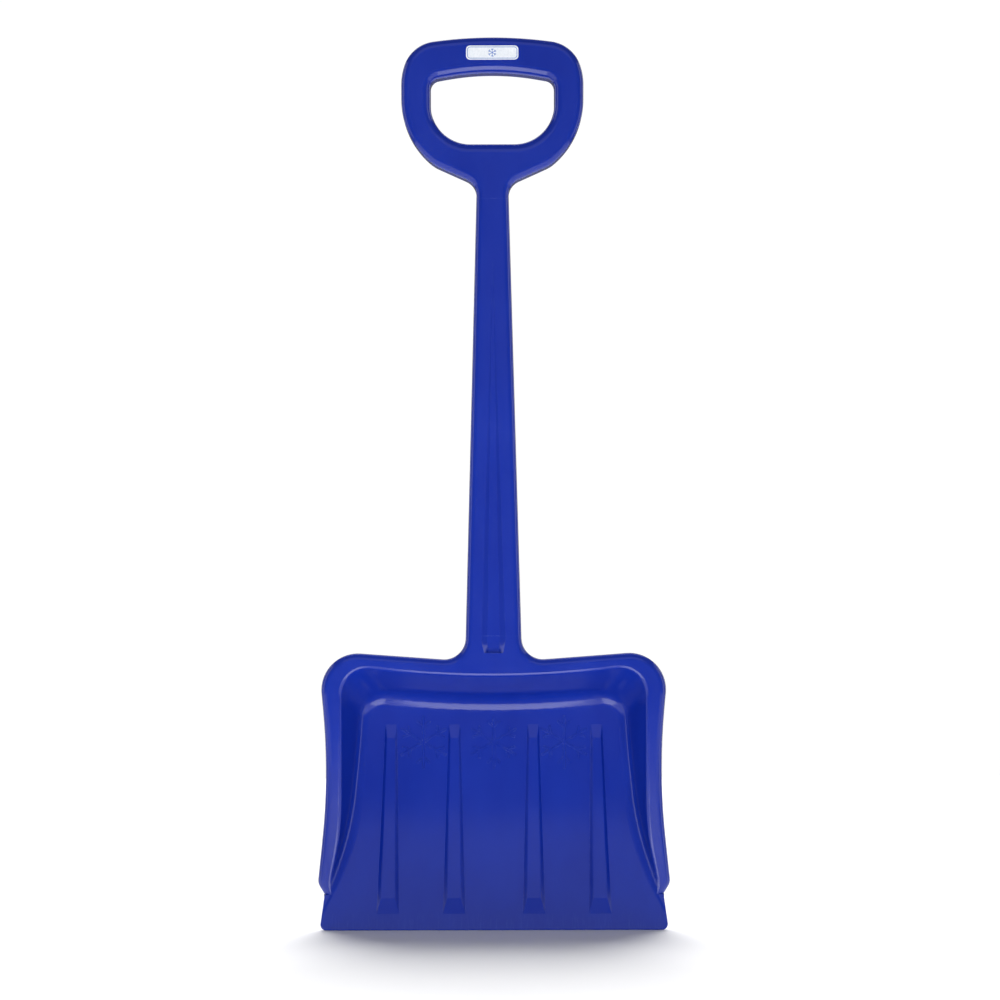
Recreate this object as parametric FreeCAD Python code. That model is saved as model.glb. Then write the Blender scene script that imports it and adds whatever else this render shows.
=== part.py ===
import FreeCAD, Part
import math
import os

# A child's snow shovel in blue plastic: a scoop with a rolled rim, a tapered shaft with a long
# pointed flute, and a D grip. The three mouldings are open at the back and a tongue on each end
# of the shaft is screwed to bosses inside the scoop's neck and the grip's neck.
#
# Millimetres. +Z runs up the shaft, +X to the right, and -Y is the scooping side.
# The origin is the middle of the cutting edge's flat underside, on the ground.

Vector = FreeCAD.Vector
TO_RIGHT = Vector(1, 0, 0)
TO_BACK = Vector(0, 1, 0)

# Driving dimensions shared by the mouldings.
WALL = 2.5
FRONT_Y = 9.1  # the plane of the rim's, the shaft's and the grip's front faces
EDGE_ROUND = 5.5  # round-over of the outer front edges
BEHIND = 90.0  # further back than any part of the shovel
BESIDE = 200.0  # further out than either side of the scoop
TINY = 1e-3
RIB = 1.8

# The shaft tapers upwards, in width and in depth. It meets the scoop and the grip at flush seams.
SCOOP_SEAM_Z = 223.5
GRIP_SEAM_Z = 558.0
HALF_WIDTH_AT_SEAM = {"scoop": 21.3, "grip": 12.4}
DEPTH_AT_SEAM = {"scoop": 26.0, "grip": 22.0}

# The scoop's floor is an arc about an axis that lies in front of it, along X.
FLOOR_RADIUS = 635.0
LIP_SLOPE = math.radians(24.0)
LIP_FRONT_Y = -WALL / math.cos(LIP_SLOPE) / 2
FLOOR_AXIS_Y = LIP_FRONT_Y - FLOOR_RADIUS * math.cos(LIP_SLOPE)
FLOOR_AXIS_Z = FLOOR_RADIUS * math.sin(LIP_SLOPE)
FLOOR_SPAN_Z = (-60.0, 230.0)  # the arc is drawn this far, past the scoop at both ends

# The scoop from the front: corners as (x, z, radius), on the right side.
SHOULDER_FILLET_Z = 204.1
SHOULDER_FILLET = 16.5
RIM_SHOULDER = (134.8, 212.4, 28)
RIM_WAIST = (126.3, 118.4, 500)
RIM_FOOT = (135.0, 34.5, 9.5)
RIM_FOOT_Z = 25.5  # below this height the scoop is only its lip
NOTCH_X = 129.6
NOTCH_ROUND = 4.0
LIP_CORNER = (133.0, 0, 4.5)

# The mouth of the pan in the front plane, and how its walls lean inwards towards the floor.
MOUTH_HALF_WIDTH = 116.9
MOUTH_FLARE_Z = 63.3
MOUTH_FLARE = math.radians(17.0)
MOUTH_FLARE_ROUND = 240.0
MOUTH_TOP_Z = 186.1
MOUTH_TOP_RISE = math.radians(7.8)
MOUTH_TOP_ROUND = 735.0
SIDE_DRAFT = math.radians(22.0)
TOP_DRAFT = math.radians(29.0)
PAN_CORNER_ROUND = 23.0
FLOOR_ROUND = {"lip": 3.0, "side": 10.0, "top": 14.0}
RIM_ROUND = 3.0
PAN_BLOCK_FRONT_Y = -50.0
PAN_BLOCK_LOW_Z = -40.0
PAN_BLOCK_REACH = 300.0
SIDE_ROUND_END_Z = 160.0  # above this height the floor's round is the top one
MOUTH_TOP_LIMIT_Z = 202.0
SKIRT_DEPTH = 7.5
SKIRT_OVERLAP = 1.0
LIP_TURN_UP = 0.8
LIP_TOP_Z = 26.0
LIP_EDGE_ROUND = 0.8
NECK_LOW_Z = 168.0
NECK_WALL = 2.8
NECK_BLOCK_X = 60.0
NECK_FRONT_Z = 198.0  # above this height the flute and the bosses are backed
GUSSET_Z = 180.0
GUSSET_PROUD = 0.6  # how far the gussets stand behind the floor

# Raised beads that stiffen the floor: centre at the top and bottom, and their sections.
BEAD_CENTRES = ((30.5, 30.5), (79.5, 81.0))
BEAD_TOP_Z = 153.5
BEAD_BOTTOM_Z = 22.5
BEAD_RAMP = 10.5
BEAD_TOP_END = 10.0
BEAD_HEIGHT = {"top": 2.0, "bottom": 3.0}
BEAD_BASE = {"top": 9.0, "bottom": 16.5}
BEAD_CROWN = {"top": 6.0, "bottom": 11.0}
BEAD_EDGE_ROUND = 0.9
BEAD_STATIONS = 4
BEAD_OVERRUN = {"bottom": 0.14, "top": 0.10}  # how far the sections run on, as shares
BEAD_FRONT = 4.5  # how far the sections reach in front of the floor
BEAD_GROOVE_INSET = 0.75  # of the wall's thickness, on each side
BEAD_ENDS = (
    (BEAD_BOTTOM_Z, -BEAD_RAMP, BEAD_HEIGHT["bottom"]),
    (BEAD_TOP_Z - BEAD_TOP_END, BEAD_TOP_END, BEAD_HEIGHT["top"]),
)

# Raised snow crystals on the floor.
FLAKE_CENTRES_X = (-54.5, 0.0, 54.5)
FLAKE_CENTRE_Z = 140.0
FLAKE_ARM = 20.6
FLAKE_BRANCH = 7.2
FLAKE_BRANCH_AT = 0.56
FLAKE_BRANCH_ANGLE = 48.0
FLAKE_HEIGHT = 0.6
FLAKE_ROOT = 1.0  # how far the lines reach into the wall
FLAKE_SPARE = 0.5  # how far they reach in front of their crowns before they are trimmed
FLAKE_CROWN = 0.8
FLAKE_SLOPE = 0.9  # from a line's crown to its root, seen from the front

# The pointed flute in the front of the shaft, which ends in the scoop's neck.
FLUTE_TIP_Z = 520.0
FLUTE_WIDE_Z = 220.0
FLUTE_END_Z = 210.5
FLUTE_DEPTH = 3.0
FLUTE_MOUTH = {"wide": 9.2, "end": 7.3}
FLUTE_FLOOR = {"wide": 4.8, "end": 4.2}
FLUTE_LEAD = 1.0  # how far the cutter starts in front of the front plane

# Tongues, bosses and self-tapping screws: screw places as (x, z).
TONGUE_THICKNESS = 3.0
SCOOP_TONGUE = {"half_width": 17.8, "front_y": FRONT_Y + 12, "end_z": 194.0}
GRIP_TONGUE = {"half_width": 8.9, "front_y": FRONT_Y + 10, "end_z": 592.0}
SCOOP_SCREWS = ((-11.0, 201.5), (11.0, 201.5), (-11.0, 215.5), (11.0, 215.5))
GRIP_SCREWS = ((0.0, 568.0), (0.0, 583.0))
BOSS_RADIUS = 3.6
PILOT_RADIUS = 1.8
PILOT_DEPTH = 8.0
SCREW_RADIUS = 1.75
SCREW_REACH = 7.0  # below the boss's face
SCREW_HOLE_RADIUS = 2.1
HEAD_RADIUS = 3.7
HEAD_HEIGHT = 2.4
HEAD_ROUND = 1.1
RECESS_WIDTH = 1.1
RECESS_LENGTH = 4.0
RECESS_DEPTH = 1.2
SCREW_POINT = 1.0

# The shaft's ends and its cross ribs.
BULKHEAD = 2.5
RIB_PITCH = 30.0
RIB_SETBACK = 3.0  # from the open back

# The grip's ring and its opening from the front: corners as (x, z, radius), on the right side.
GRIP_RING = (
    (0, 684.5, 330),
    (62.4, 676.2, 27),
    (69.8, 652.0, 45),
    (69.6, 605.8, 63),
    (44.8, 583.7, 28),
)
GRIP_NECK_Z = 569.0
GRIP_NECK_ROUND = 13.0
OPENING_HALF_WIDTH = 47.4
OPENING_LOW_Z = 600.0
OPENING_CORNERS = (
    (0, 657.4, 196),
    (OPENING_HALF_WIDTH, 649.0, 7.6),
    (OPENING_HALF_WIDTH, OPENING_LOW_Z, 30.5),
)
OPENING_ROUND = 7.0

# Ribs cross the hollow of the grip's ring at these angles about its centre.
GRIP_CENTRE_Z = 630.0
GRIP_RIB_ANGLES = (10, 35, 62, 90, 118, 145, 170, 197, 222, 318, 343)
GRIP_RIB_SPAN = (10.0, 95.0)

# The badge is a thin label on the grip's top bar.
BADGE_HALF_WIDTH = 20.0
BADGE_HALF_HEIGHT = 5.4
BADGE_CENTRE_Z = 669.3
BADGE_ROUND = 3.0
BADGE_THICKNESS = 0.25


# ---- outlines and edges -------------------------------------------------------------------


def rounded_wire(corners, y):
    """A closed wire in the plane at y, from corners (x, z, radius) in order."""
    points = [Vector(x, y, z) for x, z, _ in corners]
    edges = []
    ends = []
    for i, (_, _, radius) in enumerate(corners):
        before = (points[i - 1] - points[i]).normalize()
        after = (points[(i + 1) % len(points)] - points[i]).normalize()
        if radius == 0:
            ends.append((points[i], points[i]))
            continue
        half_turn = (math.pi - before.getAngle(after)) / 2
        reach = radius * math.tan(half_turn)
        start = points[i] + before * reach
        end = points[i] + after * reach
        inward = (before + after).normalize()
        middle = points[i] + inward * (radius / math.cos(half_turn) - radius)
        edges.append(Part.Arc(start, middle, end).toShape())
        ends.append((start, end))
    for i, (start, _) in enumerate(ends):
        last = ends[i - 1][1]
        if last.distanceToPoint(start) > TINY:
            edges.append(Part.makeLine(last, start))
    return Part.Wire(Part.__sortEdges__(edges))


def both_sides(half):
    """The corners of a symmetric outline, from its right half listed from top to bottom."""
    left = [(-x, z, radius) for x, z, radius in reversed(half) if x > 0]
    return half + left


def prism(corners, low_y, high_y):
    face = Part.Face(rounded_wire(corners, low_y))
    return face.extrude(TO_BACK * (high_y - low_y))


def offset_prism(corners, offset, low_y, high_y):
    """A prism on the outline grown by offset, or shrunk where offset is negative."""
    wire = rounded_wire(corners, low_y).makeOffset2D(offset)
    return Part.Face(wire).extrude(TO_BACK * (high_y - low_y))


def box(low, high):
    size = Vector(*high) - Vector(*low)
    return Part.makeBox(size.x, size.y, size.z, Vector(*low))


def samples(edge):
    first, last = edge.ParameterRange
    return [edge.valueAt(first + (last - first) * part / 4) for part in range(5)]


def edges_where(shape, test):
    """The edges of which every sampled point passes the test."""
    return [edge for edge in shape.Edges if all(test(point) for point in samples(edge))]


def round_front(shape, front_y, radius, skip_z=()):
    """Rounds the edges in the front plane, apart from straight ends at the heights in skip_z."""

    def in_front(point):
        return abs(point.y - front_y) < TINY

    def at_end(edge):
        return any(all(abs(p.z - z) < TINY for p in samples(edge)) for z in skip_z)

    chosen = [edge for edge in edges_where(shape, in_front) if not at_end(edge)]
    return shape.makeFillet(radius, chosen)


def cylinder_along_y(x, z, radius, low_y, high_y):
    return Part.makeCylinder(radius, high_y - low_y, Vector(x, low_y, z), TO_BACK)


# ---- the shaft's taper ----------------------------------------------------------------------


def between_seams(z, at_seam):
    share = (z - SCOOP_SEAM_Z) / (GRIP_SEAM_Z - SCOOP_SEAM_Z)
    return at_seam["scoop"] + share * (at_seam["grip"] - at_seam["scoop"])


def shaft_half_width(z):
    return between_seams(z, HALF_WIDTH_AT_SEAM)


def shaft_back_y(z):
    return FRONT_Y + between_seams(z, DEPTH_AT_SEAM)


def channel_section(z, inset, back_y):
    """A level section of the shaft, rounded at its two front corners."""
    half = shaft_half_width(z) - inset
    front = FRONT_Y + inset
    radius = EDGE_ROUND - inset
    slant = radius * (1 - math.sqrt(0.5))
    left_back = Vector(-half, back_y, z)
    left_side = Vector(-half, front + radius, z)
    left_mid = Vector(-half + slant, front + slant, z)
    left_front = Vector(-half + radius, front, z)
    right_front = Vector(half - radius, front, z)
    right_mid = Vector(half - slant, front + slant, z)
    right_side = Vector(half, front + radius, z)
    right_back = Vector(half, back_y, z)
    return Part.Wire(
        [
            Part.makeLine(left_back, left_side),
            Part.Arc(left_side, left_mid, left_front).toShape(),
            Part.makeLine(left_front, right_front),
            Part.Arc(right_front, right_mid, right_side).toShape(),
            Part.makeLine(right_side, right_back),
            Part.makeLine(right_back, left_back),
        ]
    )


def channel(low_z, high_z, inset, extra_depth):
    low = channel_section(low_z, inset, shaft_back_y(low_z) + extra_depth)
    high = channel_section(high_z, inset, shaft_back_y(high_z) + extra_depth)
    return Part.makeLoft([low, high], True, True)


def flute_section(z, mouth, floor, depth):
    front = FRONT_Y - FLUTE_LEAD
    spread = (mouth - floor) / depth * FLUTE_LEAD
    corners = [(-mouth - spread, front), (mouth + spread, front)]
    corners += [(floor, FRONT_Y + depth), (-floor, FRONT_Y + depth)]
    points = [Vector(x, y, z) for x, y in corners]
    return Part.makePolygon(points + points[:1])


def flute(grow):
    """The flute's space, or the thicker body behind it when grow is the wall's thickness."""
    wide_mouth = FLUTE_MOUTH["wide"] + grow
    wide_floor = FLUTE_FLOOR["wide"] + grow
    end_mouth = FLUTE_MOUTH["end"] + grow
    end_floor = FLUTE_FLOOR["end"] + grow
    depth = FLUTE_DEPTH + grow
    wide = flute_section(FLUTE_WIDE_Z, wide_mouth, wide_floor, depth)
    end = flute_section(FLUTE_END_Z - grow, end_mouth, end_floor, depth)
    tip = Vector(0, FRONT_Y + grow - 0.1, FLUTE_TIP_Z)
    sides = [Part.Face(wide)]
    for edge in wide.Edges:
        corners = [vertex.Point for vertex in edge.Vertexes]
        sides.append(Part.Face(Part.makePolygon([*corners, tip, corners[0]])))
    spear = Part.makeSolid(Part.makeShell(sides))
    if spear.Volume < 0:
        spear.reverse()
    return spear.fuse(Part.makeLoft([end, wide], True, True))


# ---- the scoop --------------------------------------------------------------------------------


def scoop_outline(top_z, rim_only):
    """The scoop seen from the front. The rim alone stops above the lip."""
    half = [
        (shaft_half_width(top_z), top_z, 0),
        (shaft_half_width(SHOULDER_FILLET_Z), SHOULDER_FILLET_Z, SHOULDER_FILLET),
        RIM_SHOULDER,
        RIM_WAIST,
        RIM_FOOT,
    ]
    if rim_only:
        half.append((NOTCH_X, RIM_FOOT_Z, 0))
    else:
        half += [(NOTCH_X, RIM_FOOT_Z, NOTCH_ROUND), LIP_CORNER]
    return both_sides(half)


def floor_cylinder(lift):
    """Everything in front of the floor, or of a surface that stands lift in front of it."""
    return in_front_of_arc(FLOOR_AXIS_Z, FLOOR_RADIUS - lift)


def in_front_of_arc(axis_z, radius):
    """A block along X whose curved back is swept from one arc, drawn as a spline."""
    low_z, high_z = FLOOR_SPAN_Z
    centre = Vector(-BESIDE, FLOOR_AXIS_Y, axis_z)
    points = []
    for z in (low_z, (low_z + high_z) / 2, high_z):
        sine = (axis_z - z) / radius
        points.append(centre + Vector(0, math.sqrt(1 - sine * sine), -sine) * radius)
    arc = Part.Arc(*points).toBSpline().toShape()
    low = Vector(-BESIDE, PAN_BLOCK_FRONT_Y - 10, low_z)
    high = Vector(-BESIDE, PAN_BLOCK_FRONT_Y - 10, high_z)
    back_to_front = Part.makeLine(points[2], high)
    down = Part.makeLine(high, low)
    front_to_back = Part.makeLine(low, points[0])
    outline = Part.Wire([arc, back_to_front, down, front_to_back])
    return Part.Face(outline).extrude(TO_RIGHT * BESIDE * 2)


def leaning_block(corners, lean):
    """Extrudes an outline in the front plane both ways along a leaning direction."""
    direction = Vector(lean[0], 1, lean[1])
    face = Part.Face(rounded_wire(corners, FRONT_Y))
    face.translate(direction * (PAN_BLOCK_FRONT_Y - FRONT_Y))
    return face.extrude(direction * (BEHIND - PAN_BLOCK_FRONT_Y))


def floor_round_at(z):
    if z < MOUTH_FLARE_Z:
        share = (z - PAN_BLOCK_LOW_Z) / (MOUTH_FLARE_Z - PAN_BLOCK_LOW_Z)
        return FLOOR_ROUND["lip"] + share * (FLOOR_ROUND["side"] - FLOOR_ROUND["lip"])
    return FLOOR_ROUND["side"] if z < SIDE_ROUND_END_Z else FLOOR_ROUND["top"]


def round_edges(shape, radii):
    """Rounds a row of tangent edges. Each edge's number maps to its inner and outer radii."""
    document = FreeCAD.newDocument("rounds")
    base = document.addObject("Part::Feature", "base")
    base.Shape = shape
    fillet = document.addObject("Part::Fillet", "fillet")
    fillet.Base = base
    fillet.Edges = [(number, *ends) for number, ends in radii.items()]
    document.recompute()
    result = fillet.Shape.copy()
    FreeCAD.closeDocument(document.Name)
    return result


def pan_space(grow):
    """The hollow of the pan, or its outer shape when grow is the wall's thickness."""
    side = MOUTH_HALF_WIDTH + grow / math.cos(SIDE_DRAFT)
    low_side = side + (MOUTH_FLARE_Z - PAN_BLOCK_LOW_Z) * math.tan(MOUTH_FLARE)
    top_z = MOUTH_TOP_Z + grow / math.cos(TOP_DRAFT)
    far = PAN_BLOCK_REACH
    beside = [
        (-far, far, 0),
        (side, far, 0),
        (side, MOUTH_FLARE_Z, MOUTH_FLARE_ROUND),
        (low_side, PAN_BLOCK_LOW_Z, 0),
        (-far, PAN_BLOCK_LOW_Z, 0),
    ]
    below = [
        (0, top_z, MOUTH_TOP_ROUND),
        (far, top_z + far * math.tan(MOUTH_TOP_RISE), 0),
        (far, -far, 0),
    ]
    block = leaning_block(beside, (-math.tan(SIDE_DRAFT), 0))
    block = block.common(leaning_block(both_sides(below), (0, -math.tan(TOP_DRAFT))))

    def on_corner(point):
        return point.x > MOUTH_HALF_WIDTH / 2 and point.z > MOUTH_FLARE_Z and point.y < BEHIND

    def runs_back(edge):
        return edge.Length > BEHIND and abs(edge.tangentAt(edge.FirstParameter).y) > 0.5

    corners = [edge for edge in edges_where(block, on_corner) if runs_back(edge)]
    block = block.makeFillet(PAN_CORNER_ROUND + grow, corners)
    block = block.common(floor_cylinder(-grow))
    right_half = block.common(box((0, -far, -far), (far, far, far)))
    radii = {}
    for number, edge in enumerate(right_half.Edges, 1):
        points = samples(edge)
        if meets_wall(points, FLOOR_RADIUS + grow):
            ends = sorted((points[0], points[-1]), key=lambda point: point.x)
            radii[number] = [floor_round_at(end.z) + grow for end in ends]
    right_half = round_edges(right_half, radii)
    left_half = right_half.mirror(Vector(0, 0, 0), TO_RIGHT)
    return right_half.fuse(left_half).removeSplitter()


def meets_wall(points, radius):
    """True for points along an edge where the floor meets the pan's side or top wall."""
    in_middle = all(point.x < TINY for point in points)
    at_foot = all(point.z < PAN_BLOCK_LOW_Z + 1 for point in points)
    reach = [math.hypot(point.y - FLOOR_AXIS_Y, point.z - FLOOR_AXIS_Z) for point in points]
    on_floor_arc = all(abs(distance - radius) < TINY for distance in reach)
    return on_floor_arc and not in_middle and not at_foot


def scoop_front():
    """Everything behind the scoop's front surface, within its outline."""
    rim = prism(scoop_outline(SCOOP_SEAM_Z, True), FRONT_Y, BEHIND)
    rim = round_front(rim, FRONT_Y, EDGE_ROUND, (SCOOP_SEAM_Z, RIM_FOOT_Z))
    lip = prism(scoop_outline(SCOOP_SEAM_Z, False), PAN_BLOCK_FRONT_Y, BEHIND)
    lip = lip.common(box((-BESIDE, PAN_BLOCK_FRONT_Y, 0), (BESIDE, BEHIND, LIP_TOP_Z)))
    lip = lip.cut(floor_cylinder(LIP_TURN_UP))
    body = rim.fuse(lip).cut(pan_space(0))

    def on_mouth(point):
        beside = abs(point.x) < MOUTH_HALF_WIDTH + 10
        return abs(point.y - FRONT_Y) < TINY and beside and LIP_TOP_Z < point.z < MOUTH_TOP_LIMIT_Z

    mouth = [edge for edge in edges_where(body, on_mouth) if not on_outline(edge)]
    return body.makeFillet(RIM_ROUND, mouth)


def on_outline(edge):
    """True for the inner edge of the rounded outline, which runs beside the mouth's edge."""
    limit_x = MOUTH_HALF_WIDTH + 3
    return any(abs(point.x) > limit_x and point.z > MOUTH_FLARE_Z for point in samples(edge))


def bead_section(z, centre_x, share, narrow, front, back):
    """A section square to the floor: its sides lean as the bead's do, from front to back."""
    crown = between(BEAD_CROWN, share) / 2 - narrow
    base = between(BEAD_BASE, share) / 2 - narrow
    lean = (base - crown) / between(BEAD_HEIGHT, share)
    sine = (FLOOR_AXIS_Z - z) / FLOOR_RADIUS
    outward = Vector(0, math.sqrt(1 - sine * sine), -sine)
    foot = Vector(centre_x, FLOOR_AXIS_Y, FLOOR_AXIS_Z) + outward * FLOOR_RADIUS
    points = []
    for side, depth in ((-1, -front), (1, -front), (1, back), (-1, back)):
        points.append(foot + TO_RIGHT * (side * (base + lean * depth)) + outward * depth)
    return Part.makePolygon(points + points[:1])


def between(sizes, share):
    """A size between the bottom's, at 0, and the top's, at 1."""
    return sizes["bottom"] + share * (sizes["top"] - sizes["bottom"])


def bead(bottom_x, top_x, grow):
    """A raised bead, or the groove behind it when grow is the wall's thickness."""
    sections = []
    narrow = grow * BEAD_GROOVE_INSET
    back = grow + 1 if grow else WALL / 2
    for i in range(BEAD_STATIONS + 1):
        share = i / BEAD_STATIONS * (1 + sum(BEAD_OVERRUN.values())) - BEAD_OVERRUN["bottom"]
        z = BEAD_BOTTOM_Z + share * (BEAD_TOP_Z - BEAD_BOTTOM_Z)
        x = bottom_x + share * (top_x - bottom_x)
        sections.append(bead_section(z, x, share, narrow, BEAD_FRONT, back))
    body = Part.makeLoft(sections, True, False)
    sines = [(FLOOR_AXIS_Z - z) / FLOOR_RADIUS for z in (BEAD_BOTTOM_Z, BEAD_TOP_Z)]
    shift = (BEAD_HEIGHT["bottom"] - BEAD_HEIGHT["top"]) / (sines[0] - sines[1])
    height = BEAD_HEIGHT["bottom"] - shift * sines[0]
    body = body.cut(in_front_of_arc(FLOOR_AXIS_Z + shift, FLOOR_RADIUS - height + grow))
    for z, run, rise in BEAD_ENDS:
        body = body.cut(bead_end(z, run, rise, grow))
    if grow:
        return body
    crown = [edge for edge in body.Edges if stands_proud(edge)]
    return body.makeFillet(BEAD_EDGE_ROUND, crown)


def stands_proud(edge):
    """True where some of an edge is in front of the floor."""
    return any(
        math.hypot(point.y - FLOOR_AXIS_Y, point.z - FLOOR_AXIS_Z) < FLOOR_RADIUS - 0.6
        for point in samples(edge)
    )


def bead_end(z, run, rise, grow):
    """The space in front of the slope that ends a bead: run is along Z, from its crown."""
    crown = on_floor(z, rise - grow)
    along = on_floor(z + run, -grow) - crown
    start = crown - along
    end = crown + along * 6
    corners = [start, end, end - TO_BACK * 60, start - TO_BACK * 60]
    for corner in corners:
        corner.x = -BESIDE
    face = Part.Face(Part.makePolygon(corners + corners[:1]))
    return face.extrude(TO_RIGHT * BESIDE * 2)


def on_floor(z, lift):
    """The point in the middle of the floor at height z, or one that stands lift in front of it."""
    sine = (FLOOR_AXIS_Z - z) / FLOOR_RADIUS
    outward = Vector(0, math.sqrt(1 - sine * sine), -sine)
    return Vector(0, FLOOR_AXIS_Y, FLOOR_AXIS_Z) + outward * (FLOOR_RADIUS - lift)


def floor_y(z):
    return FLOOR_AXIS_Y + math.sqrt(FLOOR_RADIUS**2 - (z - FLOOR_AXIS_Z) ** 2)


def away(point, reach, angle):
    """The place at a distance from (x, z), at an angle measured from +X towards +Z."""
    x, z = point
    return x + reach * math.cos(angle), z + reach * math.sin(angle)


def crystal_line(start, end):
    """A line of a snow crystal between two places, with sloped sides and ends."""
    foot, tip = (on_floor(z, 0) + TO_RIGHT * x for x, z in (start, end))
    length = foot.distanceToPoint(tip)
    along = (tip - foot).normalize()
    across = along.cross(Vector(0, FLOOR_AXIS_Y, FLOOR_AXIS_Z) - on_floor(start[1], 0)).normalize()
    crown = FLAKE_CROWN / 2
    root = crown + FLAKE_SLOPE
    bar = Part.makeWedge(
        *(0, -FLAKE_ROOT, -root, -crown, FLAKE_SLOPE),
        *(length, FLAKE_HEIGHT + FLAKE_SPARE, root, crown, length - FLAKE_SLOPE),
    )
    turn = FreeCAD.Rotation(along, across.cross(along), across, "XYZ")
    bar.Placement = FreeCAD.Placement(foot, turn)
    return bar


def flake(centre_x):
    """A snow crystal: three crossing lines, with a pair of branches near each of their ends."""
    lines = []
    centre = (centre_x, FLAKE_CENTRE_Z)
    for arm in range(6):
        angle = math.radians(90 + 60 * arm)
        tip = away(centre, FLAKE_ARM, angle)
        if arm < 3:
            lines.append(crystal_line(away(centre, -FLAKE_ARM, angle), tip))
        fork = away(centre, FLAKE_ARM * FLAKE_BRANCH_AT, angle)
        for side in (-1, 1):
            branch = angle + side * math.radians(FLAKE_BRANCH_ANGLE)
            lines.append(crystal_line(fork, away(fork, FLAKE_BRANCH, branch)))
    layer = floor_cylinder(-FLAKE_ROOT / 2).cut(floor_cylinder(FLAKE_HEIGHT))
    lines = [line.common(layer) for line in lines]
    return lines[0].multiFuse(lines[1:])


def boss(x, z, face_y):
    return cylinder_along_y(x, z, BOSS_RADIUS, FRONT_Y + WALL / 2, face_y)


def pilot(x, z, face_y):
    return cylinder_along_y(x, z, PILOT_RADIUS, face_y - PILOT_DEPTH, face_y + 1)


def neck_walls():
    """The two deep walls of the scoop's neck, which brace the back of the pan."""
    front_y = FRONT_Y + SKIRT_DEPTH - SKIRT_OVERLAP
    profile = [
        (front_y, NECK_LOW_Z),
        (floor_y(NECK_LOW_Z) + WALL + GUSSET_PROUD, NECK_LOW_Z),
        (floor_y(GUSSET_Z) + WALL + GUSSET_PROUD, GUSSET_Z),
        (shaft_back_y(SCOOP_SEAM_Z), SCOOP_SEAM_Z),
        (front_y, SCOOP_SEAM_Z),
    ]
    points = [Vector(-NECK_BLOCK_X, y, z) for y, z in profile]
    plate = Part.Face(Part.makePolygon(points + points[:1])).extrude(TO_RIGHT * NECK_BLOCK_X * 2)
    outer = channel(NECK_LOW_Z, SCOOP_SEAM_Z, 0, BEHIND)
    inner = channel(NECK_LOW_Z - 5, SCOOP_SEAM_Z + 5, NECK_WALL, BEHIND)
    return plate.common(outer.cut(inner))


def make_scoop():
    skirt_back = FRONT_Y + SKIRT_DEPTH
    skirt = box((-BESIDE, FRONT_Y - 1, RIM_FOOT_Z), (BESIDE, skirt_back, SCOOP_SEAM_Z))
    hollow = offset_prism(scoop_outline(SCOOP_SEAM_Z + 30, True), -WALL, FRONT_Y + WALL, BEHIND)
    hollow = round_front(hollow, FRONT_Y + WALL, EDGE_ROUND - WALL)
    floor = box((-BESIDE, PAN_BLOCK_FRONT_Y, -5), (BESIDE, BEHIND, LIP_TOP_Z))
    floor = floor.common(floor_cylinder(-WALL))
    shell = skirt.cut(hollow).fuse(floor)
    behind_rim = box((-BESIDE, FRONT_Y, LIP_TOP_Z - 1), (BESIDE, BEHIND, SCOOP_SEAM_Z))
    shell = shell.fuse(pan_space(WALL).common(behind_rim))
    shell = shell.fuse(neck_walls())
    front = scoop_front()
    pieces = [flute(WALL)]
    for x, z in SCOOP_SCREWS:
        pieces.append(boss(x, z, SCOOP_TONGUE["front_y"]))
    neck = box((-NECK_BLOCK_X, FRONT_Y, NECK_FRONT_Z), (NECK_BLOCK_X, BEHIND, SCOOP_SEAM_Z))
    for piece in pieces:
        shell = shell.fuse(piece.common(neck))
    scoop = front.common(shell).cut(flute(0))
    for x, z in SCOOP_SCREWS:
        scoop = scoop.cut(pilot(x, z, SCOOP_TONGUE["front_y"]))
    for top_x, bottom_x in BEAD_CENTRES:
        for side in (-1, 1):
            scoop = scoop.fuse(bead(side * bottom_x, side * top_x, 0))
            scoop = scoop.cut(bead(side * bottom_x, side * top_x, WALL))
    for centre_x in FLAKE_CENTRES_X:
        scoop = scoop.fuse(flake(centre_x))

    def on_lip(point):
        return abs(point.z) < TINY and abs(point.y - LIP_FRONT_Y) < TINY

    return scoop.makeFillet(LIP_EDGE_ROUND, edges_where(scoop, on_lip))


# ---- the shaft ------------------------------------------------------------------------------


def tongue(sizes, low_z, high_z, screws):
    """A flat tongue with rounded end corners and a clearance hole for each screw."""
    half = sizes["half_width"]
    end_z = sizes["end_z"]
    root_z = low_z if end_z == high_z else high_z
    corners = [(-half, root_z, 0), (-half, end_z, 3), (half, end_z, 3), (half, root_z, 0)]
    front = sizes["front_y"]
    back = front + TONGUE_THICKNESS
    plate = prism(corners, front, back)
    for x, z in screws:
        plate = plate.cut(cylinder_along_y(x, z, SCREW_HOLE_RADIUS, front - 1, back + 1))
    return plate


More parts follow.
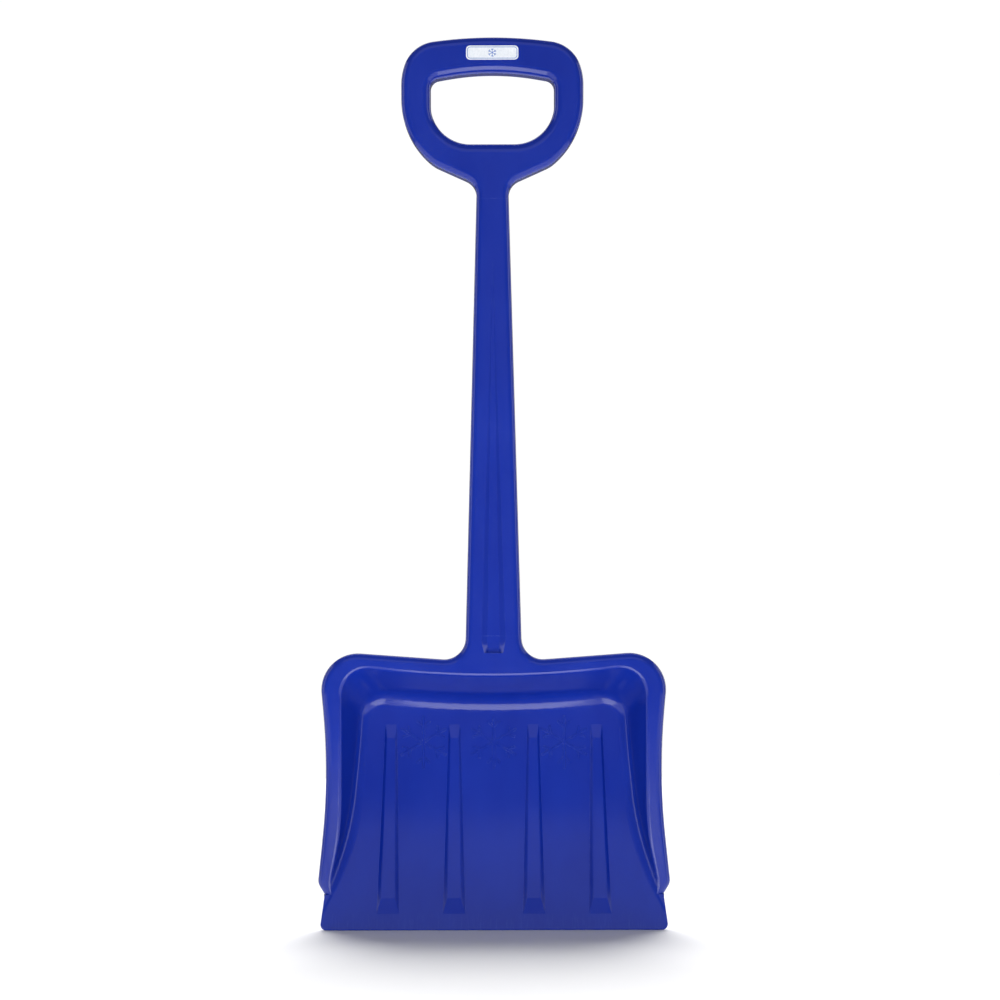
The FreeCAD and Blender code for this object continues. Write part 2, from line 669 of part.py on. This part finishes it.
def make_shaft():
    body = channel(SCOOP_SEAM_Z, GRIP_SEAM_Z, 0, 0)
    hollow = channel(SCOOP_SEAM_Z + BULKHEAD, GRIP_SEAM_Z - BULKHEAD, WALL, 10)
    lattice = []
    count = round((GRIP_SEAM_Z - SCOOP_SEAM_Z) / RIB_PITCH)
    pitch = (GRIP_SEAM_Z - SCOOP_SEAM_Z) / count
    for i in range(1, count):
        z = SCOOP_SEAM_Z + i * pitch
        high = shaft_back_y(z) - RIB_SETBACK
        low_corner = (-NECK_BLOCK_X, FRONT_Y, z - RIB / 2)
        lattice.append(box(low_corner, (NECK_BLOCK_X, high, z + RIB / 2)))
    hollow = hollow.cut(lattice[0].multiFuse(lattice[1:])).cut(flute(WALL))
    shaft = body.cut(hollow).cut(flute(0))
    low_root = SCOOP_SEAM_Z + BULKHEAD / 2
    high_root = GRIP_SEAM_Z - BULKHEAD / 2
    low = tongue(SCOOP_TONGUE, SCOOP_TONGUE["end_z"], low_root, SCOOP_SCREWS)
    high = tongue(GRIP_TONGUE, high_root, GRIP_TONGUE["end_z"], GRIP_SCREWS)
    return shaft.fuse(low).fuse(high)


# ---- the grip -------------------------------------------------------------------------------


def grip_outline(low_z):
    """The grip from the front: a D ring over a neck that carries on the shaft's taper."""
    half = [
        *GRIP_RING,
        (shaft_half_width(GRIP_NECK_Z), GRIP_NECK_Z, GRIP_NECK_ROUND),
        (shaft_half_width(low_z), low_z, 0),
    ]
    return both_sides(half)


def opening_outline():
    return both_sides(list(OPENING_CORNERS))


def make_grip():
    back = FRONT_Y + DEPTH_AT_SEAM["grip"]
    ring = prism(grip_outline(GRIP_SEAM_Z), FRONT_Y, back)
    ring = round_front(ring, FRONT_Y, EDGE_ROUND, (GRIP_SEAM_Z,))
    ring = ring.cut(prism(opening_outline(), FRONT_Y - 1, BEHIND))
    ring = round_front_inside(ring, FRONT_Y, OPENING_ROUND)
    inside_y = FRONT_Y + WALL
    hollow = offset_prism(grip_outline(GRIP_SEAM_Z - 30), -WALL, inside_y, BEHIND)
    hollow = round_front(hollow, inside_y, EDGE_ROUND - WALL)
    hollow = hollow.cut(offset_prism(opening_outline(), WALL, inside_y - 1, BEHIND))
    hollow = round_front_inside(hollow, inside_y, OPENING_ROUND - WALL)
    hollow = hollow.cut(grip_ribs())
    grip = ring.cut(hollow)
    for x, z in GRIP_SCREWS:
        grip = grip.fuse(boss(x, z, GRIP_TONGUE["front_y"]))
        grip = grip.cut(pilot(x, z, GRIP_TONGUE["front_y"]))
    return grip


def round_front_inside(shape, front_y, radius):
    """Rounds the front edges of the ring's opening, or of the hollow around it."""

    def on_opening(point):
        beside = abs(point.x) < OPENING_HALF_WIDTH + WALL + 1
        between_bars = OPENING_LOW_Z - WALL - 1 < point.z < OPENING_CORNERS[0][1] + WALL
        return abs(point.y - front_y) < TINY and beside and between_bars

    return shape.makeFillet(radius, edges_where(shape, on_opening))


def grip_ribs():
    """Ribs that cross the hollow ring, each square to the ring where it stands."""
    centre = Vector(0, FRONT_Y, GRIP_CENTRE_Z)
    back = FRONT_Y + DEPTH_AT_SEAM["grip"] - RIB_SETBACK
    near, far = GRIP_RIB_SPAN
    ribs = []
    for degrees in GRIP_RIB_ANGLES:
        rib = box((near, FRONT_Y, GRIP_CENTRE_Z - RIB / 2), (far, back, GRIP_CENTRE_Z + RIB / 2))
        rib.rotate(centre, TO_BACK, -degrees)
        ribs.append(rib)
    return ribs[0].multiFuse(ribs[1:])


# ---- screws and badge -----------------------------------------------------------------------


def screw(x, z, boss_y):
    """A self-tapping screw put in from behind: a pan head with a cross recess, and its shank."""
    seat = boss_y + TONGUE_THICKNESS
    head = cylinder_along_y(x, z, HEAD_RADIUS, seat, seat + HEAD_HEIGHT)
    outer = edges_where(head, lambda point: point.y > seat + HEAD_HEIGHT - TINY)
    head = head.makeFillet(HEAD_ROUND, outer)
    for wide, tall in ((RECESS_LENGTH, RECESS_WIDTH), (RECESS_WIDTH, RECESS_LENGTH)):
        low = (x - wide / 2, seat + HEAD_HEIGHT - RECESS_DEPTH, z - tall / 2)
        head = head.cut(box(low, (x + wide / 2, seat + HEAD_HEIGHT + 1, z + tall / 2)))
    shank = cylinder_along_y(x, z, SCREW_RADIUS, boss_y - SCREW_REACH, seat)
    tip_y = boss_y - SCREW_REACH
    tip = edges_where(shank, lambda point: point.y < tip_y + TINY)
    return head.fuse(shank.makeChamfer(SCREW_POINT, tip))


def screw_group(places, boss_y):
    return Part.makeCompound([screw(x, z, boss_y) for x, z in places])


def make_badge():
    low = BADGE_CENTRE_Z - BADGE_HALF_HEIGHT
    high = BADGE_CENTRE_Z + BADGE_HALF_HEIGHT
    half = [(BADGE_HALF_WIDTH, high, BADGE_ROUND), (BADGE_HALF_WIDTH, low, BADGE_ROUND)]
    return prism(both_sides(half), FRONT_Y - BADGE_THICKNESS, FRONT_Y)


def main():
    os.makedirs("parts", exist_ok=True)
    nodes = {
        "scoop": make_scoop(),
        "shaft": make_shaft(),
        "grip": make_grip(),
        "scoop_screws": screw_group(SCOOP_SCREWS, SCOOP_TONGUE["front_y"]),
        "grip_screws": screw_group(GRIP_SCREWS, GRIP_TONGUE["front_y"]),
        "badge": make_badge(),
    }
    for name, shape in nodes.items():
        shape.exportStep(f"parts/{name}.step")
        solids = len(shape.Solids)
        print(f"{name}: {solids} solid(s), {shape.Volume / 1000:.2f} cm3, valid {shape.isValid()}")


main()
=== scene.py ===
import math

import bpy
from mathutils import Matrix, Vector


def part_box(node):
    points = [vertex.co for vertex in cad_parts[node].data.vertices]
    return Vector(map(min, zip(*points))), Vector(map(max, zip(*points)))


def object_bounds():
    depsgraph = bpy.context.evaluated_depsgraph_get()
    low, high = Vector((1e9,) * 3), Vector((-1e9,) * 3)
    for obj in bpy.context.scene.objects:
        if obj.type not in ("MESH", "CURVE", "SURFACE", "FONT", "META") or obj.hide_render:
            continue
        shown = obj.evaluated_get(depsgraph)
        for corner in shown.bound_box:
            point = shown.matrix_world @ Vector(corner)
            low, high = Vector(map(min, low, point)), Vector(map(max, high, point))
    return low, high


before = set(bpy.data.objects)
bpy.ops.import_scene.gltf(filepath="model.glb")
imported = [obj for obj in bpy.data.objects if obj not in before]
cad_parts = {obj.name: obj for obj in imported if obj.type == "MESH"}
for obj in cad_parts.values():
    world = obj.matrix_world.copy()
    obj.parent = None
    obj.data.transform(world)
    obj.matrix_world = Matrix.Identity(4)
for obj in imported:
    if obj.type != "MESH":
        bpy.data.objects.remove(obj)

# A child's snow shovel in blue plastic, in a white studio. The frame's own nodes are shown, so
# this script gives them materials and adds the floor, the lights and the camera.
# Metres. +Z runs up the shaft and -Y is the scooping side.

CAD_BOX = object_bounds()
LOW, HIGH = CAD_BOX
HEIGHT = HIGH.z - LOW.z
FRONT_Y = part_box("grip")[0].y
BADGE_LOW, BADGE_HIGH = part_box("badge")

# Framing: the camera looks straight at the scooping side, level but for a slight roll.
CAMERA_DISTANCE = 2.4
FIELD_WIDTH = HEIGHT * 1.121
CAMERA_HEIGHT = HEIGHT * 0.4804
CAMERA_ASIDE = HEIGHT * 0.0076
CAMERA_ROLL = math.radians(0.13)
SENSOR_WIDTH = 36.0

# The studio. The floor's edge doesn't show, because the camera sees a white sheet beyond it.
FLOOR_REACH = 1.3
ROOM_STRENGTH = 0.16
SHEET_STRENGTH = 1.02
SUN_STRENGTH = 4.0
SUN_ANGLE = 44

# The badge's print.
BORDER_INSET = 0.0011
BORDER_CORNER = 0.0022
BORDER_HALF_LINE = 0.00022
CRYSTAL_ARM = 0.0033
CRYSTAL_HALF_LINE = 0.00021
CRYSTAL_BRANCH_AT = 0.0019
CRYSTAL_BRANCH_REACH = 0.0010
CRYSTAL_BRANCH_HALF_LINE = 0.00026

# Wear: how far scratches reach above the cutting edge, and how wide an edge is rubbed.
SCUFF_HEIGHT = 0.014
PLASTIC_WORN_EDGE = 0.0006
STEEL_WORN_EDGE = 0.0002

PLASTIC_IOR = 1.49

# Colours, linear.
BLUE_DEEP = (0.0038, 0.0195, 0.265, 1.0)
BLUE_PLAIN = (0.0058, 0.0255, 0.31, 1.0)
BLUE_SCUFFED = (0.045, 0.085, 0.42, 1.0)
STEEL = (0.56, 0.575, 0.6, 1.0)
STEEL_DULL = (0.36, 0.37, 0.39, 1.0)
STEEL_RUBBED = (0.75, 0.76, 0.78, 1.0)
FILM = (0.80, 0.83, 0.88, 1.0)
FILM_DULL = (0.74, 0.78, 0.84, 1.0)
FILM_INK = (0.055, 0.16, 0.50, 1.0)
FLOOR_COLOUR = (0.86, 0.86, 0.865, 1.0)
WHITE = (1.0, 1.0, 1.0, 1.0)

# The numbers of a mix node's colour sockets: two inputs and one output.
MIX_FIRST = 6
MIX_SECOND = 7
MIX_RESULT = 2


# ---- node helpers ---------------------------------------------------------------------------


class Nodes:
    """A material under construction: short calls that add a node and link its inputs."""

    def __init__(self, name):
        self.material = bpy.data.materials.new(name)
        self.material.use_nodes = True
        self.tree = self.material.node_tree
        self.tree.nodes.clear()
        self.shader = self.tree.nodes.new("ShaderNodeBsdfPrincipled")
        output = self.tree.nodes.new("ShaderNodeOutputMaterial")
        self.tree.links.new(self.shader.outputs["BSDF"], output.inputs["Surface"])
        self.place = self.add("ShaderNodeTexCoord").outputs["Object"]

    def add(self, kind, **settings):
        node = self.tree.nodes.new(kind)
        for key, value in settings.items():
            setattr(node, key, value)
        return node

    def put(self, socket, value):
        if isinstance(value, bpy.types.NodeSocket):
            self.tree.links.new(value, socket)
        else:
            socket.default_value = value

    def maths(self, operation, *values, clamp=False):
        node = self.add("ShaderNodeMath", operation=operation, use_clamp=clamp)
        for socket, value in zip(node.inputs, values):
            self.put(socket, value)
        return node.outputs["Value"]

    def length(self, first, second):
        """The length of the line from the origin to a point, from its two coordinates."""
        squares = [self.maths("POWER", side, 2) for side in (first, second)]
        return self.maths("SQRT", self.maths("ADD", *squares))

    def stretched(self, scale):
        node = self.add("ShaderNodeMapping")
        self.put(node.inputs["Vector"], self.place)
        node.inputs["Scale"].default_value = scale
        return node.outputs["Vector"]

    def noise(self, scale, detail=2.0, where=None):
        node = self.add("ShaderNodeTexNoise")
        self.put(node.inputs["Vector"], where or self.place)
        node.inputs["Scale"].default_value = scale
        node.inputs["Detail"].default_value = detail
        return node.outputs["Fac"]

    def spread(self, value, low, high, to_low=0.0, to_high=1.0):
        node = self.add("ShaderNodeMapRange")
        self.put(node.inputs["Value"], value)
        node.inputs["From Min"].default_value = low
        node.inputs["From Max"].default_value = high
        node.inputs["To Min"].default_value = to_low
        node.inputs["To Max"].default_value = to_high
        return node.outputs["Result"]

    def blend(self, share, first, second):
        node = self.add("ShaderNodeMix", data_type="RGBA")
        self.put(node.inputs["Factor"], share)
        self.put(node.inputs[MIX_FIRST], first)
        self.put(node.inputs[MIX_SECOND], second)
        return node.outputs[MIX_RESULT]

    def split(self, vector):
        node = self.add("ShaderNodeSeparateXYZ")
        self.put(node.inputs["Vector"], vector)
        return node.outputs["X"], node.outputs["Y"], node.outputs["Z"]

    def bump(self, height, distance, under=None):
        node = self.add("ShaderNodeBump")
        self.put(node.inputs["Height"], height)
        node.inputs["Distance"].default_value = distance
        if under is not None:
            self.put(node.inputs["Normal"], under)
        return node.outputs["Normal"]

    def edges(self, radius):
        """Near 1 on sharp edges and 0 on open faces."""
        rounded = self.add("ShaderNodeBevel", samples=4)
        rounded.inputs["Radius"].default_value = radius
        dot = self.add("ShaderNodeVectorMath", operation="DOT_PRODUCT")
        self.put(dot.inputs[0], rounded.outputs["Normal"])
        self.put(dot.inputs[1], self.add("ShaderNodeNewGeometry").outputs["Normal"])
        return self.spread(dot.outputs["Value"], 0.995, 0.80)


def blue_plastic():
    """Glossy moulded plastic: slow drifts of colour, sink waves, a fine skin and worn edges."""
    m = Nodes("blue_plastic")
    drift = m.noise(9.0, detail=3.0)
    streaks = m.noise(1.0, detail=4.0, where=m.stretched((70.0, 70.0, 9.0)))
    tone = m.maths("ADD", m.maths("MULTIPLY", drift, 0.7), m.maths("MULTIPLY", streaks, 0.3))
    colour = m.blend(m.spread(tone, 0.35, 0.65), BLUE_DEEP, BLUE_PLAIN)

    # Scuffs: short scratches that run up from the cutting edge, and rubbed outer edges.
    height = m.split(m.place)[2]
    near_lip = m.spread(height, SCUFF_HEIGHT, 0.0)
    scratches = m.noise(1.0, detail=3.0, where=m.stretched((900.0, 200.0, 60.0)))
    scuffed = m.maths("MULTIPLY", near_lip, m.spread(scratches, 0.52, 0.72))
    patches = m.spread(m.noise(160.0, detail=4.0), 0.36, 0.62)
    rubbed = m.maths("MULTIPLY", m.edges(PLASTIC_WORN_EDGE), patches)
    wear = m.maths("ADD", m.maths("MULTIPLY", scuffed, 0.25), m.maths("MULTIPLY", rubbed, 0.45))
    m.put(m.shader.inputs["Base Color"], m.blend(wear, colour, BLUE_SCUFFED))

    skin = m.spread(m.noise(45.0, detail=4.0), 0.3, 0.7, to_low=0.105, to_high=0.165)
    fine_lines = m.noise(1.0, where=m.stretched((1500.0, 1500.0, 45.0)))
    hairs = m.spread(fine_lines, 0.66, 0.74)
    roughness = m.maths("ADD", skin, m.maths("MULTIPLY", hairs, 0.05))
    roughness = m.maths("ADD", roughness, m.maths("MULTIPLY", wear, 0.35))
    m.put(m.shader.inputs["Roughness"], roughness)

    waves = m.bump(m.noise(16.0, detail=1.0), distance=0.00012)
    grain = m.bump(m.noise(1400.0, detail=1.0), distance=0.0000012, under=waves)
    m.put(m.shader.inputs["Normal"], m.bump(wear, distance=-0.00002, under=grain))
    m.shader.inputs["IOR"].default_value = PLASTIC_IOR
    return m.material


def screw_steel():
    """Zinc-plated steel: cloudy plating, fine turning marks, brighter rubbed edges."""
    m = Nodes("screw_steel")
    clouds = m.noise(600.0, detail=3.0)
    colour = m.blend(m.spread(clouds, 0.35, 0.65), STEEL_DULL, STEEL)
    rubbed = m.edges(STEEL_WORN_EDGE)
    m.put(m.shader.inputs["Base Color"], m.blend(rubbed, colour, STEEL_RUBBED))
    m.put(m.shader.inputs["Roughness"], m.spread(clouds, 0.3, 0.7, to_low=0.24, to_high=0.42))
    turning = m.noise(1.0, where=m.stretched((3000.0, 300.0, 3000.0)))
    m.put(m.shader.inputs["Normal"], m.bump(turning, distance=0.000004))
    m.shader.inputs["Metallic"].default_value = 1.0
    return m.material


def badge_film():
    """A printed film without lettering: a pale field, a thin border and one plain snow crystal."""
    m = Nodes("badge_film")
    x, _, z = m.split(m.place)
    middle = (BADGE_LOW + BADGE_HIGH) / 2
    half_x = (BADGE_HIGH.x - BADGE_LOW.x) / 2
    half_z = (BADGE_HIGH.z - BADGE_LOW.z) / 2
    across = m.maths("SUBTRACT", x, middle.x)
    up = m.maths("SUBTRACT", z, middle.z)

    # The border line: a rounded rectangle just inside the badge's edge.
    margin = BORDER_INSET + BORDER_CORNER
    beyond_x = m.maths("SUBTRACT", m.maths("ABSOLUTE", across), half_x - margin)
    beyond_z = m.maths("SUBTRACT", m.maths("ABSOLUTE", up), half_z - margin)
    out_x = m.maths("MAXIMUM", beyond_x, 0.0)
    out_z = m.maths("MAXIMUM", beyond_z, 0.0)
    reach = m.length(out_x, out_z)
    inner = m.maths("MINIMUM", m.maths("MAXIMUM", beyond_x, beyond_z), 0.0)
    signed = m.maths("SUBTRACT", m.maths("ADD", reach, inner), BORDER_CORNER)
    line = m.maths("LESS_THAN", m.maths("ABSOLUTE", signed), BORDER_HALF_LINE)

    # A snow crystal: six arms, each folded onto one, with a pair of branches.
    radius = m.length(across, up)
    angle = m.maths("ARCTAN2", across, up)
    folded = m.maths("PINGPONG", angle, math.radians(30))
    along = m.maths("MULTIPLY", radius, m.maths("COSINE", folded))
    aside = m.maths("MULTIPLY", radius, m.maths("SINE", folded))
    arm = m.maths("LESS_THAN", aside, CRYSTAL_HALF_LINE)
    arm = m.maths("MULTIPLY", arm, m.maths("LESS_THAN", along, CRYSTAL_ARM))
    slope = m.maths("SUBTRACT", m.maths("SUBTRACT", along, CRYSTAL_BRANCH_AT), aside)
    branch = m.maths("LESS_THAN", m.maths("ABSOLUTE", slope), CRYSTAL_BRANCH_HALF_LINE)
    branch = m.maths("MULTIPLY", branch, m.maths("LESS_THAN", aside, CRYSTAL_BRANCH_REACH))
    ink = m.maths("MAXIMUM", line, m.maths("MAXIMUM", arm, branch))

    paper = m.blend(m.spread(m.noise(400.0, detail=3.0), 0.3, 0.7), FILM, FILM_DULL)
    m.put(m.shader.inputs["Base Color"], m.blend(ink, paper, FILM_INK))
    roughness = m.spread(m.noise(700.0), 0.3, 0.7, to_low=0.22, to_high=0.34)
    m.put(m.shader.inputs["Roughness"], roughness)
    m.put(m.shader.inputs["Normal"], m.bump(m.noise(900.0), distance=0.000004))
    return m.material


# ---- the object -----------------------------------------------------------------------------


def dress(name, material):
    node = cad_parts[name]
    node.data.materials.clear()
    node.data.materials.append(material)


def dress_all():
    plastic = blue_plastic()
    steel = screw_steel()
    for name in ("scoop", "shaft", "grip"):
        dress(name, plastic)
    for name in ("scoop_screws", "grip_screws"):
        dress(name, steel)
    dress("badge", badge_film())


# ---- the studio -----------------------------------------------------------------------------


def aim(thing, target):
    thing.rotation_euler = (Vector(target) - thing.location).to_track_quat("-Z", "Y").to_euler()


def area_light(name, location, target, size, strength, diffuse=True, glossy=True):
    """A softbox: strength is its brightness, so its power follows from its size."""
    data = bpy.data.lights.new(name, "AREA")
    data.shape = "RECTANGLE"
    data.size, data.size_y = size
    data.energy = strength * math.pi * size[0] * size[1]
    light = bpy.data.objects.new(name, data)
    bpy.context.collection.objects.link(light)
    light.location = location
    aim(light, target)
    light.visible_camera = False
    light.visible_diffuse = diffuse
    light.visible_glossy = glossy


def sun_light(name, direction, strength, angle):
    data = bpy.data.lights.new(name, "SUN")
    data.energy = strength
    data.angle = math.radians(angle)
    light = bpy.data.objects.new(name, data)
    bpy.context.collection.objects.link(light)
    aim(light, direction)
    light.visible_glossy = False


def make_lights():
    middle = (0.0, 0.0, HEIGHT * 0.45)
    scoop_middle = (0.0, 0.0, HEIGHT * 0.15)
    sun_light("overhead", (0.0, -0.8, -1.0), SUN_STRENGTH, SUN_ANGLE)
    # Broad fills that light the colour, but aren't seen in the gloss.
    where = (0.0, -3.2, 0.6)
    area_light("front_fill", where, middle, size=(2.6, 1.1), strength=8.0, glossy=False)
    where = (0.0, 3.2, 1.3)
    area_light("back_fill", where, middle, size=(2.6, 2.0), strength=4.0, glossy=False)
    # Softboxes that the gloss shows.
    for side in (-1, 1):
        where = (side * 2.2, -0.25, 0.7)
        name = f"side_box_{side + 1}"
        area_light(name, where, middle, size=(0.7, 2.2), strength=1.6, diffuse=False)
        where = (side * 2.2, 1.6, 0.9)
        name = f"rear_box_{side + 1}"
        area_light(name, where, middle, size=(0.7, 2.0), strength=2.0, diffuse=False)
    where = (0.0, -2.0, 1.9)
    area_light("high_box", where, scoop_middle, size=(2.4, 1.5), strength=0.45, diffuse=False)
    where = (0.0, 1.9, 2.0)
    area_light("high_rear_box", where, scoop_middle, size=(2.4, 1.1), strength=0.8, diffuse=False)
    # A card on the floor in front of the scoop brightens the rounds that face down.
    where = (0.0, LOW.y - 0.62, LOW.z + 0.004)
    straight_up = where[:2] + (1.0,)
    area_light("floor_card", where, straight_up, size=(0.20, 1.0), strength=2.8)


def make_world():
    """A dim room that lights the shovel, and a white sheet that only the camera sees."""
    world = bpy.data.worlds.new("studio")
    bpy.context.scene.world = world
    world.use_nodes = True
    tree = world.node_tree
    tree.nodes.clear()
    room = tree.nodes.new("ShaderNodeBackground")
    room.inputs["Color"].default_value = WHITE
    room.inputs["Strength"].default_value = ROOM_STRENGTH
    sheet = tree.nodes.new("ShaderNodeBackground")
    sheet.inputs["Color"].default_value = WHITE
    sheet.inputs["Strength"].default_value = SHEET_STRENGTH
    path = tree.nodes.new("ShaderNodeLightPath")
    mix = tree.nodes.new("ShaderNodeMixShader")
    output = tree.nodes.new("ShaderNodeOutputWorld")
    tree.links.new(path.outputs["Is Camera Ray"], mix.inputs["Fac"])
    tree.links.new(room.outputs["Background"], mix.inputs[1])
    tree.links.new(sheet.outputs["Background"], mix.inputs[2])
    tree.links.new(mix.outputs["Shader"], output.inputs["Surface"])


def make_floor():
    signs = ((-1, -1), (1, -1), (1, 1), (-1, 1))
    corners = [(x * FLOOR_REACH, y * FLOOR_REACH, 0) for x, y in signs]
    mesh = bpy.data.meshes.new("floor")
    mesh.from_pydata(corners, [], [(0, 1, 2, 3)])
    floor = bpy.data.objects.new("floor", mesh)
    bpy.context.collection.objects.link(floor)
    floor.location.z = LOW.z
    m = Nodes("floor")
    m.shader.inputs["Base Color"].default_value = FLOOR_COLOUR
    roughness = m.spread(m.noise(3.0), 0.3, 0.7, to_low=0.75, to_high=0.85)
    m.put(m.shader.inputs["Roughness"], roughness)
    m.shader.inputs["Specular IOR Level"].default_value = 0.1
    mesh.materials.append(m.material)


def make_camera():
    data = bpy.data.cameras.new("camera")
    data.sensor_width = SENSOR_WIDTH
    data.lens = SENSOR_WIDTH * CAMERA_DISTANCE / FIELD_WIDTH
    data.clip_start = 0.05
    camera = bpy.data.objects.new("camera", data)
    bpy.context.collection.objects.link(camera)
    camera.location = (CAMERA_ASIDE, FRONT_Y - CAMERA_DISTANCE, LOW.z + CAMERA_HEIGHT)
    camera.rotation_euler = (math.radians(90), CAMERA_ROLL, 0.0)
    bpy.context.scene.camera = camera


bpy.context.scene.view_settings.view_transform = "Standard"
make_camera()
dress_all()
make_world()
make_floor()
make_lights()
